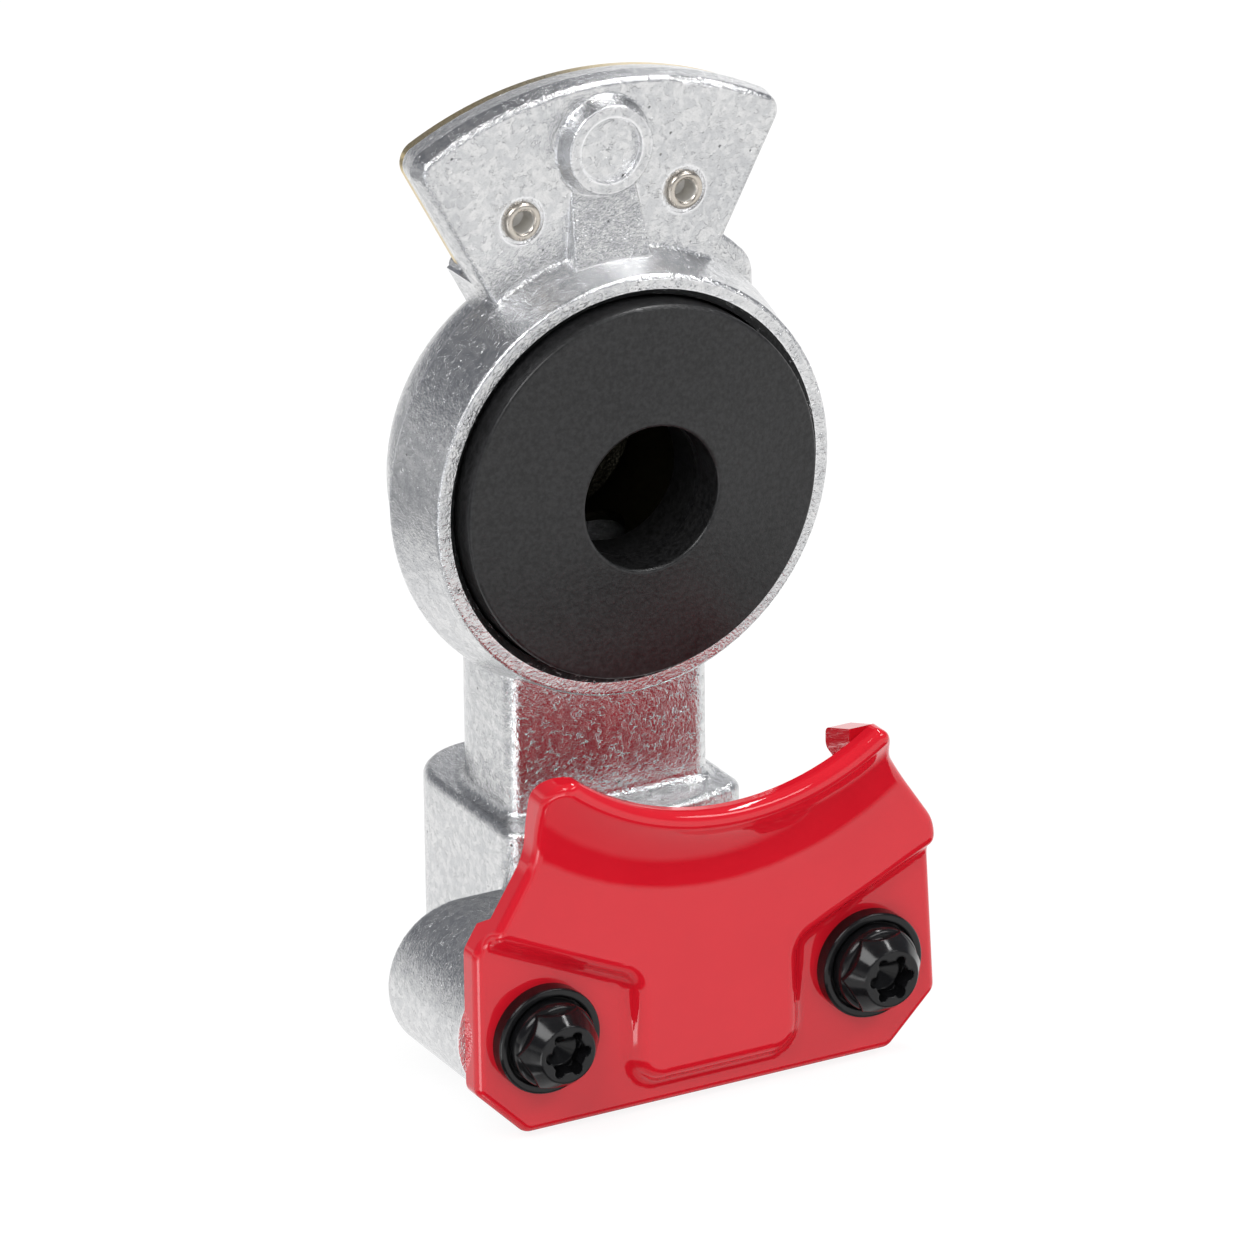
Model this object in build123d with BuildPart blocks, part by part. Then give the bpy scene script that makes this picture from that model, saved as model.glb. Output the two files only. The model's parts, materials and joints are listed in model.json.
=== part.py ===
from build123d import *
import os
from math import asin, cos, radians, sin, sqrt, tan

os.makedirs("parts", exist_ok=True)

# A gladhand air brake coupler. The sealing axis is Y, with the sealing face looking along -Y and
# the hose port looking down. The origin is the centre of the sealing face's outer edge, and a
# depth is a distance along +Y from there. Lengths are in millimetres and angles in degrees.

# Sealing ring, moulded rubber
seal_radius = 25.0
seal_bore = 9.5
seal_proud = 2.2
seal_depth = 9.5
seal_edge = 0.5
bore_groove = 0.7
bore_groove_depth = 2.6
bore_groove_length = 1.2
bead_height = 0.9
bead_length = 2.4
seal_gap = 0.35

# Head of the casting: a stepped cup round the sealing ring
rim_front = 2.6
rim_radius = 28.2
rim_edge = 0.6
rim_chamfer = 1.0
lip_depth = 5.8
lip_radius = 28.7
parting_depth = 12.0
parting_radius = 30.1
parting_step = 1.6
rear_body_radius = 26.2
rear_body_depth = 25.0
rear_body_round = 6.0

# Air chamber behind the cup, and the passage down to the port
chamber_radius = 16.4
chamber_rear = 34.2
chamber_round = 5.0
chamber_bore = 12.5
chamber_floor = 29.0
passage_depth = 19.0
passage_radius = 6.5

# Flange of the head, a sector that slides behind the mating coupler's guide plate
flange_front = 10.0
flange_rear = 15.8
flange_radius = 51.4
flange_centre_z = 1.0
flange_side_angle = 28.2
flange_side_offset = 2.7
flange_foot_z = 14.0
flange_corner = 2.8
flange_draft = 9.0
flange_edge = 0.9
flange_parting = 12.8

# Round boss on the flange, and the ramp from it down to the cup
boss_z = 43.7
boss_radius = 6.6
boss_height = 2.5
boss_draft = 15.0
boss_recess = 4.35
boss_recess_depth = 0.8
boss_edge = 0.35
boss_root = 0.8
ramp_top_z = 38.6
ramp_foot_z = 27.0
ramp_rise = 3.2
ramp_top_half = 4.7
ramp_foot_half = 5.6
ramp_edge = 0.5

# Stop ledge behind the flange, which ends a turn of the mating coupler
stop_radius = 33.2
stop_front = 17.0
stop_rear = 20.4
stop_right = 25.4
stop_right_round = 5.0
stop_left_inset = 0.3
stop_left_round = 1.5
stop_foot_z = 8.0
stop_edge = 0.7

# Neck, the tube between the head and the port block
neck_half = 14.7
neck_front = 9.8
neck_corner = 2.3
neck_root = 1.4

# Port block at the foot of the casting
block_top_z = -45.6
block_foot_z = -78.4
block_half = 17.4
block_front = 3.4
block_front_side = 6.0
block_margin = 3.1
block_front_corner = 3.0
block_rear_corner = 10.0
block_edge = 1.1
port_radius = 10.19
port_length = 14.0
port_chamfer = 1.2
port_cone = 4.0

# Screw lobes of the casting, one each side of the block
screw_x = 23.5
screw_rise = 14.2
lobe_radius = 10.4
lobe_rear = 8.8
lobe_edge = 1.3

# Guide plate, a pressed steel sheet, a little wider on the right
sheet = 3.3
guide_front = -17.0
guide_margin_left = 2.2
guide_margin_right = 3.3
guide_lift = 0.9
guide_bevel = 6.9
guide_corner = 2.0
shoulder_left_z = -51.4
shoulder_left_round = 2.5
shoulder_right_z = -45.9
shoulder_right_inset = 1.2
shoulder_right_round = 6.0
waist_half = 25.3
waist_left_z = -39.1
waist_right_z = -34.6
waist_round = 8.0
horn_left_z = -27.6
horn_left_half = 25.3
horn_right_z = -29.4
horn_right_half = 23.8
horn_round = 3.4
lip_shift = 1.8
lip_front_radius = 35.8
lip_reach = 6.6
lip_round = 1.5
edge_step = 0.3
flare_radius = 16.7
pad_step = 2.2
pad_slope = 35.0
pad_round = 2.0
pad_rise = 5.2
pad_slant = 24.6
tongue_half = 12.5
tongue_shift = 0.9
tongue_lift = 3.3
tongue_top_round = 2.5
tongue_foot_round = 4.6
ear_inset = 0.5
ear_slope = 2.0
ear_tip = 2.6
ear_drop = 2.0
ear_reach = 6.2
ear_round = 1.1

# Detent plate, a flat zinc plated steel sheet behind the flange
detent_thickness = 1.7
detent_inset = 0.25
detent_gap = 0.5

# Semi-tubular rivets through the flange and the detent plate
rivet_x = 11.6
rivet_margin = 2.4
rivet_shank = 1.9
rivet_roll_radius = 2.55
rivet_roll_height = 0.9
rivet_bore = 1.4
rivet_bore_depth = 3.0
rivet_head_radius = 3.2
rivet_head_height = 0.9
rivet_seat_radius = 3.1
rivet_seat_depth = 0.3
rivet_clearance = 0.05

# Screws and their dished washers
washer_radius = 7.2
washer_thickness = 2.1
washer_dish = 6.0
washer_floor = 0.9
washer_edge = 0.35
screw_radius = 4.0
screw_length = 20.0
screw_clearance = 0.3
thread_clearance = 0.05
head_flats = 9.9
head_height = 6.0
head_face = 3.85
head_chamfer_angle = 55.0
head_edge = 0.3
socket_lobes = 6
socket_lobe_radius = 0.75
socket_lobe_pitch = 2.5
socket_core = 2.5
socket_depth = 2.8
socket_cone = 1.2
tap_extra = 2.0

# Heights above the foot of the block, where the plate and its screws keep to the lobes
screw_z = block_foot_z + screw_rise
guide_foot_z = block_foot_z + guide_lift
pad_top_z = screw_z + pad_rise
tongue_foot_z = guide_foot_z + tongue_lift

# The back of the block, a margin past the round neck
block_rear = passage_depth + neck_half + block_margin

# Depths that follow from the stack of plate, washer and screw
guide_rear = guide_front + sheet
pad_front = guide_front + pad_step
pad_rear = pad_front + sheet
washer_seat = pad_front - washer_floor
screw_tip = washer_seat + screw_length

# The plate reaches a margin past the washers, and the rivets sit just above the stop ledge
guide_left = screw_x + washer_radius + guide_margin_left
guide_right = screw_x + washer_radius + guide_margin_right
rivet_z = stop_radius + rivet_margin

# Edges and corners are picked when they lie at least this far past a boundary
pick_margin = 1.0

lean = tan(radians(flange_side_angle))


def facing(depth):
    """The plane at this depth, looking out of the sealing face along -Y."""
    return Plane.XZ.offset(-depth)


def edges_at(shape, depth, tolerance=0.05):
    """The shape's edges that lie flat at this depth."""
    return shape.edges().filter_by(
        lambda e: abs(e.bounding_box().min.Y - depth) < tolerance
        and abs(e.bounding_box().max.Y - depth) < tolerance
    )


def flange_outline(plane, inset=0.0):
    """A sector with a round top and rounded corners, cut off level at its foot."""
    foot_z = flange_foot_z
    foot = flange_side_offset + lean * foot_z - inset
    wide = flange_side_offset + lean * 2 * flange_radius - inset
    with BuildSketch(plane) as outline:
        with Locations((0, flange_centre_z)):
            Circle(flange_radius - inset)
        Polygon(
            (-foot, foot_z),
            (foot, foot_z),
            (wide, 2 * flange_radius),
            (-wide, 2 * flange_radius),
            align=None,
            mode=Mode.INTERSECT,
        )
        top_corners = outline.vertices().group_by(Axis.Y)[-1]
        fillet(top_corners, flange_corner)
    return outline.sketch


# Sealing ring, one rubber moulding held by a bead round its back
with BuildPart() as seal_ring:
    with BuildSketch(Plane.XY) as seal_section:
        groove_end = bore_groove_depth + bore_groove_length
        Polygon(
            (seal_bore, -seal_proud),
            (seal_radius, 0),
            (seal_radius, seal_depth - bead_length),
            (seal_radius + bead_height, seal_depth - bead_length / 2),
            (seal_radius + bead_height, seal_depth),
            (seal_bore, seal_depth),
            (seal_bore, groove_end),
            (seal_bore + bore_groove, groove_end),
            (seal_bore + bore_groove, bore_groove_depth),
            (seal_bore, bore_groove_depth),
            align=None,
        )
        front_corners = seal_section.vertices().group_by(Axis.Y)[:2]
        fillet([group[0] for group in front_corners], seal_edge)
    revolve(axis=Axis.Y)
seal_ring.part.label = "seal_ring"
export_step(seal_ring.part, "parts/seal_ring.step")

# Ramp of the casting, from the boss down to the cup
with BuildPart() as ramp:
    with BuildSketch(facing(flange_parting)):
        Polygon(
            (-ramp_top_half, ramp_top_z),
            (ramp_top_half, ramp_top_z),
            (ramp_foot_half, ramp_foot_z),
            (-ramp_foot_half, ramp_foot_z),
            align=None,
        )
    extrude(amount=flange_parting - flange_front + ramp_rise)
    with BuildSketch(Plane.YZ):
        Polygon(
            (flange_front, ramp_top_z),
            (flange_front - ramp_rise, ramp_foot_z),
            (flange_parting, ramp_foot_z),
            (flange_parting, ramp_top_z),
            align=None,
        )
    extrude(amount=ramp_foot_half, both=True, mode=Mode.INTERSECT)
    slope = ramp.faces().sort_by(Axis.Y)[0]
    fillet(slope.edges().filter_by(lambda e: abs(e.tangent_at(0.5).Z) > 0.5), ramp_edge)

# Stop ledge of the casting, part of a ring that shows past both sides of the flange's foot
with BuildPart() as stop_ledge:
    left_offset = flange_side_offset - stop_left_inset
    with BuildSketch(facing(stop_rear)) as ledge:
        Circle(stop_radius)
        Polygon(
            (-left_offset - lean * stop_foot_z, stop_foot_z),
            (stop_right, stop_foot_z),
            (stop_right, 2 * stop_radius),
            (-left_offset - lean * 2 * stop_radius, 2 * stop_radius),
            align=None,
            mode=Mode.INTERSECT,
        )
        upper = ledge.vertices().filter_by(lambda v: v.Y > stop_foot_z + pick_margin)
        fillet(upper.sort_by(Axis.X)[-1], stop_right_round)
        fillet(ledge.vertices().sort_by(Axis.X)[0], stop_left_round)
    extrude(amount=stop_rear - stop_front)
    fillet(edges_at(stop_ledge, stop_front) + edges_at(stop_ledge, stop_rear), stop_edge)
    with BuildSketch(facing(stop_rear - stop_edge)):
        Circle(stop_radius - stop_edge)
        add(flange_outline(facing(flange_parting)), mode=Mode.INTERSECT)
    extrude(amount=stop_rear - stop_edge - flange_parting)

# Port block of the casting, with a crowned front
with BuildPart() as port_block:
    with BuildSketch(Plane.XY.offset(block_foot_z)) as block:
        with BuildLine():
            Polyline(
                (-block_half, block_front_side),
                (-block_half, block_rear),
                (block_half, block_rear),
                (block_half, block_front_side),
            )
            ThreePointArc(
                (-block_half, block_front_side),
                (0, block_front),
                (block_half, block_front_side),
            )
        make_face()
        fillet(block.vertices().group_by(Axis.Y)[-1], block_rear_corner)
        fillet(block.vertices().group_by(Axis.Y)[0], block_front_corner)
    extrude(amount=block_top_z - block_foot_z)
    fillet(port_block.edges().group_by(Axis.Z)[-1], block_edge)
    fillet(port_block.edges().group_by(Axis.Z)[0], block_edge)

# Screw lobes of the casting, with the bridge between them in front of the block
with BuildPart() as lobes:
    with BuildSketch(facing(pad_rear)):
        with Locations((0, screw_z)):
            SlotCenterToCenter(2 * screw_x, 2 * lobe_radius)
    extrude(amount=pad_rear - lobe_rear)
    fillet(edges_at(lobes, lobe_rear), lobe_edge)

# Coupling body, one aluminium casting
with BuildPart() as coupling_body:
    with BuildSketch(Plane.XY) as head:
        Polygon(
            (0, rim_front),
            (rim_radius, rim_front),
            (lip_radius, lip_depth),
            (parting_radius, parting_depth),
            (rear_body_radius, parting_depth + parting_step),
            (rear_body_radius, rear_body_depth),
            (chamber_radius, rear_body_depth),
            (chamber_radius, chamber_rear),
            (0, chamber_rear),
            align=None,
        )
        outer = head.vertices().filter_by(lambda v: v.X > pick_margin)
        fillet(outer.filter_by(lambda v: v.Y < rim_front + 0.01), rim_edge)
        outer = head.vertices().filter_by(lambda v: v.X > pick_margin)
        fillet(outer.sort_by(Axis.Y)[-1], chamber_round)
        shoulder = head.vertices().filter_by(lambda v: abs(v.Y - rear_body_depth) < 0.01)
        fillet(shoulder.sort_by(Axis.X)[-1], rear_body_round)
    revolve(axis=Axis.Y)

    # Flange, drafted both ways from its parting line
    extrude(
        flange_outline(facing(flange_parting)),
        amount=flange_parting - flange_front,
        taper=flange_draft,
    )
    extrude(
        flange_outline(facing(flange_parting)),
        amount=flange_parting - flange_rear,
        taper=flange_draft,
    )
    fan_edges = edges_at(coupling_body, flange_front).filter_by(
        lambda e: e.center().Z > flange_foot_z and e.length > pick_margin
    )
    fillet(fan_edges, flange_edge)

    # Boss with its shallow recess, and the ramp
    with BuildSketch(facing(flange_front)):
        with Locations((0, boss_z)):
            Circle(boss_radius)
    extrude(amount=boss_height, taper=boss_draft)
    boss_root_edges = edges_at(coupling_body, flange_front).filter_by(GeomType.CIRCLE)
    fillet(boss_root_edges.filter_by(lambda e: e.radius < boss_radius + 0.1), boss_root)
    boss_face = flange_front - boss_height
    rim_edges = edges_at(coupling_body, boss_face).filter_by(GeomType.CIRCLE)
    fillet(rim_edges.filter_by(lambda e: e.radius < boss_radius), boss_edge)
    with BuildSketch(facing(boss_face)):
        with Locations((0, boss_z)):
            Circle(boss_recess)
    extrude(amount=-boss_recess_depth, mode=Mode.SUBTRACT)
    add(ramp.part)

    # Neck
    with BuildSketch(Plane.XY.offset(block_top_z)) as neck:
        with BuildLine():
            Polyline(
                (neck_half, passage_depth),
                (neck_half, neck_front),
                (-neck_half, neck_front),
                (-neck_half, passage_depth),
            )
            ThreePointArc(
                (-neck_half, passage_depth),
                (0, passage_depth + neck_half),
                (neck_half, passage_depth),
            )
        make_face()
        fillet(neck.vertices().group_by(Axis.Y)[0], neck_corner)
    extrude(amount=-block_top_z)

    add(port_block.part)
    root = coupling_body.edges().filter_by(
        lambda e: abs(e.bounding_box().min.Z - block_top_z) < 0.01
        and e.bounding_box().size.Z < 0.01
        and abs(e.center().X) < neck_half + 0.1
        and e.center().Y < passage_depth + neck_half + 0.1
        and e.center().Y > neck_front - 0.1
    )
    fillet(root, neck_root)
    add(stop_ledge.part)
    add(lobes.part)

    # Seat of the sealing ring, with the groove for its bead
    cup_radius = seal_radius + seal_gap
    bead_start = seal_depth - bead_length
    with BuildSketch(Plane.XY):
        Polygon(
            (0, rim_front),
            (cup_radius + rim_chamfer, rim_front),
            (cup_radius, rim_front + rim_chamfer),
            (cup_radius, bead_start - seal_gap),
            (cup_radius + bead_height, bead_start + bead_length / 2 - seal_gap),
            (cup_radius + bead_height, seal_depth),
            (chamber_bore, seal_depth),
            (chamber_bore, chamber_floor - chamber_round / 2),
            (chamber_bore - chamber_round / 2, chamber_floor),
            (0, chamber_floor),
            align=None,
        )
    revolve(axis=Axis.Y, mode=Mode.SUBTRACT)

    # Passage down to the hose port
    with BuildSketch(Plane.XY.offset(block_foot_z)):
        with Locations((0, passage_depth)):
            Circle(passage_radius)
    extrude(amount=-block_foot_z, mode=Mode.SUBTRACT)
    with BuildSketch(Plane.YZ):
        Polygon(
            (passage_depth, block_foot_z),
            (passage_depth + port_radius + port_chamfer, block_foot_z),
            (passage_depth + port_radius, block_foot_z + port_chamfer),
            (passage_depth + port_radius, block_foot_z + port_length),
            (passage_depth, block_foot_z + port_length + port_cone),
            align=None,
        )
    port_axis = Axis((0, passage_depth, 0), (0, 0, 1))
    revolve(axis=port_axis, mode=Mode.SUBTRACT)

    # Tapped holes in the lobes, and the rivet holes with their shallow seats
    with BuildSketch(facing(pad_rear)):
        with Locations((-screw_x, screw_z), (screw_x, screw_z)):
            Circle(screw_radius + thread_clearance)
    extrude(amount=pad_rear - screw_tip - tap_extra, mode=Mode.SUBTRACT)
    with BuildSketch(facing(flange_front)):
        with Locations((-rivet_x, rivet_z), (rivet_x, rivet_z)):
            Circle(rivet_seat_radius)
    extrude(amount=-rivet_seat_depth, mode=Mode.SUBTRACT)
    with BuildSketch(facing(flange_front)):
        with Locations((-rivet_x, rivet_z), (rivet_x, rivet_z)):
            Circle(rivet_shank + rivet_clearance)
    extrude(amount=flange_front - flange_rear, mode=Mode.SUBTRACT)

coupling_body.part.label = "coupling_body"
export_step(coupling_body.part, "parts/coupling_body.step")

# Guide plate, pressed from one sheet: a flat panel whose upper edge flares forward round the
# sealing axis, two pads drawn back under the screws, and one bent ear
def guide_outline(plane):
    """The plate's outline seen from the front, with the right side wider and its slope higher."""
    with BuildSketch(plane) as outline:
        Polygon(
            (guide_right - guide_bevel, guide_foot_z),
            (guide_right, guide_foot_z + guide_bevel),
            (guide_right - shoulder_right_inset, shoulder_right_z),
            (waist_half, waist_right_z),
            (horn_right_half, horn_right_z),
            (0, horn_right_z),
            (0, horn_left_z),
            (-horn_left_half, horn_left_z),
            (-waist_half, waist_left_z),
            (-guide_left, shoulder_left_z),
            (-guide_left, guide_foot_z + guide_bevel),
            (-guide_left + guide_bevel, guide_foot_z),
            align=None,
        )
        for z, radius in (
            (guide_foot_z, guide_corner),
            (guide_foot_z + guide_bevel, guide_corner),
            (shoulder_left_z, shoulder_left_round),
            (shoulder_right_z, shoulder_right_round),
            (waist_left_z, waist_round),
            (waist_right_z, waist_round),
            (horn_left_z, horn_round),
            (horn_right_z, horn_round),
        ):
            corners = outline.vertices().filter_by(lambda v: abs(v.Y - z) < 0.001)
            fillet(corners.filter_by(lambda v: abs(v.X) > pick_margin), radius)
    return outline.sketch


def pad_outline(plane, grow=0.0):
    """The region of the sheet that is drawn back: two pads, joined below the tongue."""
    far = 2 * guide_right
    far_z = pad_top_z + tan(radians(pad_slant)) * (far - tongue_half)
    with BuildSketch(plane) as outline:
        with Locations((tongue_shift, 0)):
            Polygon(
                (-far, 2 * guide_foot_z),
                (far, 2 * guide_foot_z),
                (far, far_z),
                (tongue_half, pad_top_z),
                (tongue_half, tongue_foot_z),
                (-tongue_half, tongue_foot_z),
                (-tongue_half, pad_top_z),
                (-far, far_z),
                align=None,
            )
        for z, radius in ((pad_top_z, tongue_top_round), (tongue_foot_z, tongue_foot_round)):
            fillet(outline.vertices().filter_by(lambda v: abs(v.Y - z) < 0.001), radius)
        if grow > 0:
            offset(amount=grow, kind=Kind.INTERSECTION)
    return outline.sketch


# Back layer of the sheet at the pads
with BuildPart() as pads:
    wall_offset = sheet * tan(radians((90 - pad_slope) / 2))
    extrude(pad_outline(facing(pad_rear), wall_offset), amount=sheet, taper=-pad_slope)

with BuildPart() as guide_plate:
    rear_radius = flare_radius + sheet
    flare_width = sqrt(2 * flare_radius * lip_reach - lip_reach**2)
    flare_start = lip_front_radius + flare_width
    flare_centre = guide_front - flare_radius
    blank_half = 1.5 * guide_right
    blank_foot = 1.5 * guide_foot_z
    blank_reach = blank_half - 2 * blank_foot
    front_lip = (lip_front_radius, guide_front - lip_reach)
    rear_lip = (lip_front_radius, flare_centre + sqrt(rear_radius**2 - flare_width**2))
    front_turn = asin(flare_width / flare_radius) / 2
    rear_turn = asin(flare_width / rear_radius) / 2
    front_middle = (
        flare_start - flare_radius * sin(front_turn),
        flare_centre + flare_radius * cos(front_turn),
    )
    rear_middle = (
        flare_start - rear_radius * sin(rear_turn),
        flare_centre + rear_radius * cos(rear_turn),
    )
    with BuildSketch(Plane((lip_shift, 0, 0))) as section:
        with BuildLine():
            Polyline(
                (flare_start, guide_front),
                (blank_reach, guide_front),
                (blank_reach, guide_rear),
                (flare_start, guide_rear),
            )
            ThreePointArc((flare_start, guide_rear), rear_middle, rear_lip)
            Line(rear_lip, front_lip)
            ThreePointArc(front_lip, front_middle, (flare_start, guide_front))
        make_face()
        fillet(section.vertices().sort_by(Axis.Y)[0], lip_round)
    revolve(axis=Axis((lip_shift, 0, 0), (0, 1, 0)))
    with BuildSketch(facing(pad_rear)):
        with Locations((0, blank_foot / 2)):
            Rectangle(2 * blank_half, -blank_foot)
    extrude(amount=3 * sheet + pad_step + lip_reach, mode=Mode.INTERSECT)

    # The draw of the pads, rounded at its crest and at its base, before the sheet is trimmed
    extrude(pad_outline(facing(pad_front)), amount=pad_step, taper=-pad_slope, mode=Mode.SUBTRACT)
    for depth in (guide_front, pad_front):
        drawn = edges_at(guide_plate, depth).filter_by(
            lambda e: abs(e.center().X) < blank_half - pick_margin
            and blank_foot + pick_margin < e.center().Z < -pick_margin
        )
        flare_middle = (lip_shift, depth, 0)
        past_flare = flare_start + pick_margin
        fillet(drawn.filter_by(lambda e: e.distance_to(flare_middle) > past_flare), pad_round)
    add(pads.part)
    extrude(
        guide_outline(facing(pad_rear)),
        amount=3 * sheet + pad_step + lip_reach,
        mode=Mode.INTERSECT,
    )

    # Front edge of the trimmed sheet, rounded a little less than the lip
    upright = guide_plate.faces().filter_by(lambda f: abs(f.normal_at().Y) < 0.01)
    front_edges = ShapeList(
        e
        for f in upright
        for e in f.edges()
        if abs(e.tangent_at(0.5).Y) < 0.9 and e.center().Y < f.center().Y
    )
    fillet(front_edges, lip_round - edge_step)

    # Ear, bent back from the right horn
    with BuildSketch(Plane.YZ.offset(horn_right_half - ear_inset - sheet)) as ear:
        ear_top = horn_right_z - ear_slope / 2
        ear_foot = ear_top - ear_slope - ear_tip
        Polygon(
            (guide_front, ear_top),
            (guide_front + ear_reach, ear_top - ear_slope),
            (guide_front + ear_reach, ear_foot),
            (guide_front, ear_foot - ear_drop),
            align=None,
        )
        fillet(ear.vertices().group_by(Axis.X)[-1], ear_round)
    extrude(amount=sheet)

    # Screw holes
    with BuildSketch(facing(pad_rear)):
        with Locations((-screw_x, screw_z), (screw_x, screw_z)):
            Circle(screw_radius + screw_clearance)
    extrude(amount=sheet, mode=Mode.SUBTRACT)
guide_plate.part.label = "guide_plate"
export_step(guide_plate.part, "parts/guide_plate.step")

# Detent plate, riveted flat on the back of the flange
with BuildPart() as detent_plate:
    draft_inset = tan(radians(flange_draft)) * (flange_rear - flange_parting)
    extrude(
        flange_outline(facing(flange_rear), draft_inset + detent_inset),
        amount=-detent_thickness,
    )
    with BuildSketch(facing(flange_rear)):
        Circle(stop_radius + detent_gap)
        with Locations((-rivet_x, rivet_z), (rivet_x, rivet_z)):
            Circle(rivet_shank + rivet_clearance)
    extrude(amount=-detent_thickness, mode=Mode.SUBTRACT)
detent_plate.part.label = "detent_plate"
export_step(detent_plate.part, "parts/detent_plate.step")

# Rivets, set through the flange, with the rolled end in front and the flat head behind
for side, name in ((-1, "rivet_left"), (1, "rivet_right")):
    seat = flange_front + rivet_seat_depth
    roll_front = seat - rivet_roll_height
    roll_round = (rivet_roll_radius - rivet_bore) / 2
    head_front = flange_rear + detent_thickness
    with BuildPart() as rivet:
        with BuildSketch(Plane.XY.offset(rivet_z)) as rivet_section:
            with BuildLine():
                Polyline(
                    (side * rivet_x + rivet_bore, roll_front + roll_round),
                    (side * rivet_x + rivet_bore, roll_front + rivet_bore_depth),
                    (side * rivet_x, roll_front + rivet_bore_depth + rivet_bore / 2),
                    (side * rivet_x, head_front + rivet_head_height),
                    (side * rivet_x + rivet_head_radius, head_front + rivet_head_height),
                    (side * rivet_x + rivet_head_radius, head_front),
                    (side * rivet_x + rivet_shank, head_front),
                    (side * rivet_x + rivet_shank, seat),
                    (side * rivet_x + rivet_roll_radius, seat),
                    (side * rivet_x + rivet_roll_radius, roll_front + roll_round),
                )
                ThreePointArc(
                    (side * rivet_x + rivet_roll_radius, roll_front + roll_round),
                    (side * rivet_x + rivet_roll_radius - roll_round, roll_front),
                    (side * rivet_x + rivet_bore, roll_front + roll_round),
                )
            make_face()
        revolve(axis=Axis((side * rivet_x, 0, rivet_z), (0, 1, 0)))
    rivet.part.label = name
    export_step(rivet.part, f"parts/{name}.step")

# Washers with a dished front, and the hexalobular screws that sit in them
for side, name in ((-1, "left"), (1, "right")):
    with BuildPart() as washer:
        with BuildSketch(facing(pad_front)):
            with Locations((side * screw_x, screw_z)):
                Circle(washer_radius)
                Circle(screw_radius + screw_clearance, mode=Mode.SUBTRACT)
        extrude(amount=washer_thickness)
        washer_front = pad_front - washer_thickness
        with BuildSketch(facing(washer_front)):
            with Locations((side * screw_x, screw_z)):
                Circle(washer_dish)
        extrude(amount=washer_floor - washer_thickness, mode=Mode.SUBTRACT)
        fillet(edges_at(washer, washer_front), washer_edge)
    washer.part.label = f"washer_{name}"
    export_step(washer.part, f"parts/washer_{name}.step")

    with BuildPart() as screw:
        head_front = washer_seat - head_height
        with BuildSketch(facing(washer_seat)):
            with Locations((side * screw_x, screw_z)):
                RegularPolygon(head_flats / 2, 6, major_radius=False)
        extrude(amount=head_height)
        with BuildSketch(facing(head_front)):
            with Locations((side * screw_x, screw_z)):
                Circle(head_face)
        extrude(amount=-head_height, taper=head_chamfer_angle - 90, mode=Mode.INTERSECT)
        fillet(edges_at(screw, head_front), head_edge)
        with BuildSketch(facing(washer_seat)):
            with Locations((side * screw_x, screw_z)):
                Circle(screw_radius)
        extrude(amount=washer_seat - screw_tip)
        with BuildSketch(facing(head_front)):
            with Locations((side * screw_x, screw_z)):
                Circle(socket_core)
                with PolarLocations(socket_lobe_pitch, socket_lobes):
                    Circle(socket_lobe_radius)
        extrude(amount=-socket_depth, mode=Mode.SUBTRACT)
        with BuildSketch(facing(head_front + socket_depth)):
            with Locations((side * screw_x, screw_z)):
                Circle(socket_core)
        extrude(amount=-socket_cone, taper=60, mode=Mode.SUBTRACT)
    screw.part.label = f"screw_{name}"
    export_step(screw.part, f"parts/screw_{name}.step")
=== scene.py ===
import json
from math import cos, radians, sin

import bpy
from mathutils import Matrix, Vector


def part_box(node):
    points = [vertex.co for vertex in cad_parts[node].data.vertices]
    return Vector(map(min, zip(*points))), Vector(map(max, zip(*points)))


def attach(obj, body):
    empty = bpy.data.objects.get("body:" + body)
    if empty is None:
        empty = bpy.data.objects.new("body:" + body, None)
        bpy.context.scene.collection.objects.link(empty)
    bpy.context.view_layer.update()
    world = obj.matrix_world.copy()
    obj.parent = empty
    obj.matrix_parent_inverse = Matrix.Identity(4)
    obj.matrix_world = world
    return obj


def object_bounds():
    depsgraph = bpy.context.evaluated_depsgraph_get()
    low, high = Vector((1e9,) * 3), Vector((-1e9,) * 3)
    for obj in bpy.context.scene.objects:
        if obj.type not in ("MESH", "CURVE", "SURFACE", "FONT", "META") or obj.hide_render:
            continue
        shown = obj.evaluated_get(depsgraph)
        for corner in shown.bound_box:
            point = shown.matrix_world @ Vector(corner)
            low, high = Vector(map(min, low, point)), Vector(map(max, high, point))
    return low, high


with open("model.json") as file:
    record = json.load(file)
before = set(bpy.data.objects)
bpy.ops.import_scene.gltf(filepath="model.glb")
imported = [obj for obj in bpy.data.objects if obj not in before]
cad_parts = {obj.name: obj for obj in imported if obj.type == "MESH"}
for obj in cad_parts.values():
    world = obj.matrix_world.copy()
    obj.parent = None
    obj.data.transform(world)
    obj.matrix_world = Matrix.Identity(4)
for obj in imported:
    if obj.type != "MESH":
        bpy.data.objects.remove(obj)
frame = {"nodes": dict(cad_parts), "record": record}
cad_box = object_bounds()

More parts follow.
